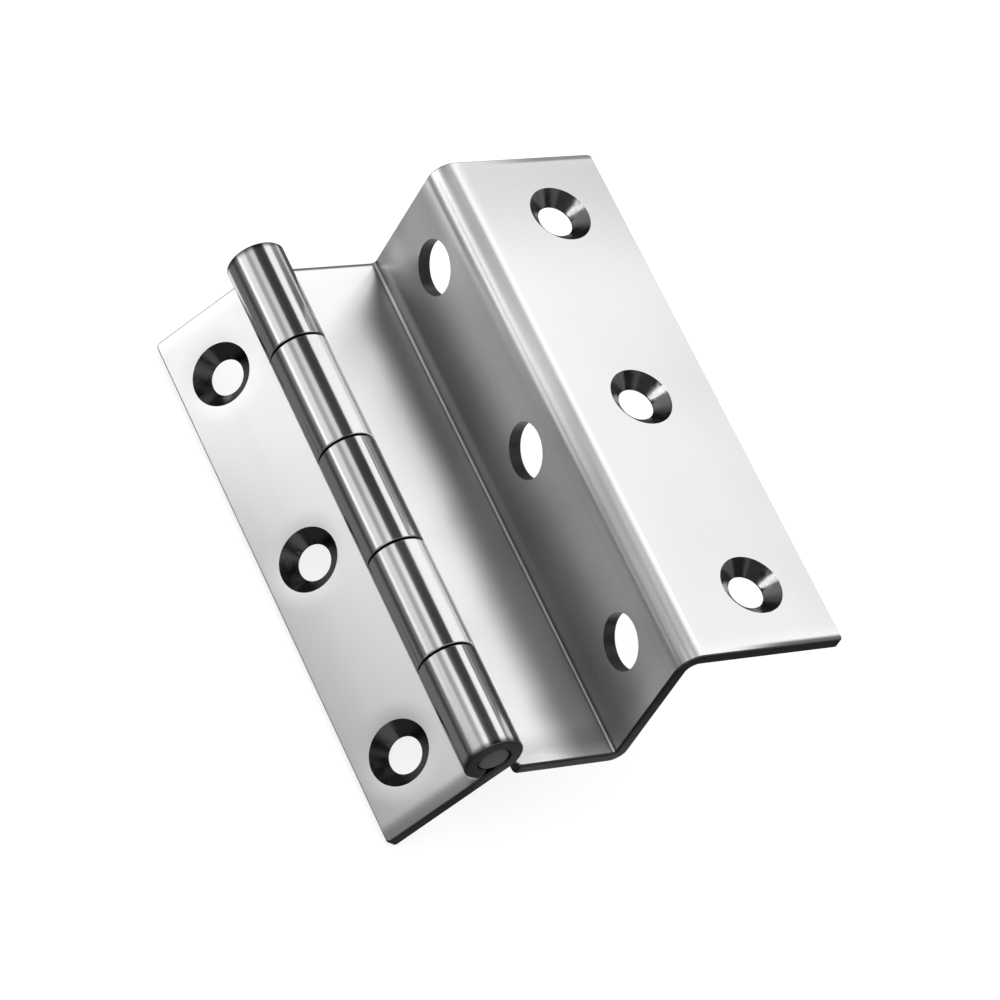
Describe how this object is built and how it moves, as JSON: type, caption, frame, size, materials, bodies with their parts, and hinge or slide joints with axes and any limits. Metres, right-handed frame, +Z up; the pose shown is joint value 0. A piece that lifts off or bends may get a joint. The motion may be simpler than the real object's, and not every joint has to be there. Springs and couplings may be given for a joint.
{
  "type": "cranked butt hinge",
  "caption": "Cranked butt hinge of folded stainless sheet: a flat leaf and a leaf bent round a frame's corner, rolled on a common pin.",
  "frame": {"origin": "midway between the flange's two end screw holes, on the underside face that the flange seats on", "axes": "+Z up out of the flange through its countersunk mouths, +Y along the pin, +X from the pin towards the flange's free edge"},
  "size_m": [0.0653, 0.1, 0.0452],
  "materials": {
    "leaf_steel": "polished stainless sheet with a fine grain",
    "pin_steel": "drawn wire, cut ends"
  },
  "bodies": {
    "cranked_side": {"cranked_leaf": "leaf_steel"},
    "flat_side": {"flat_leaf": "leaf_steel", "hinge_pin": "pin_steel"}
  },
  "joints": [
    {"name": "pin_hinge", "type": "hinge", "parent": "cranked_side", "child": "flat_side", "pos_m": [-0.0435, 0, -0.02075], "axis": [0, 1, 0], "range_deg": [-37, 250]}
  ]
}
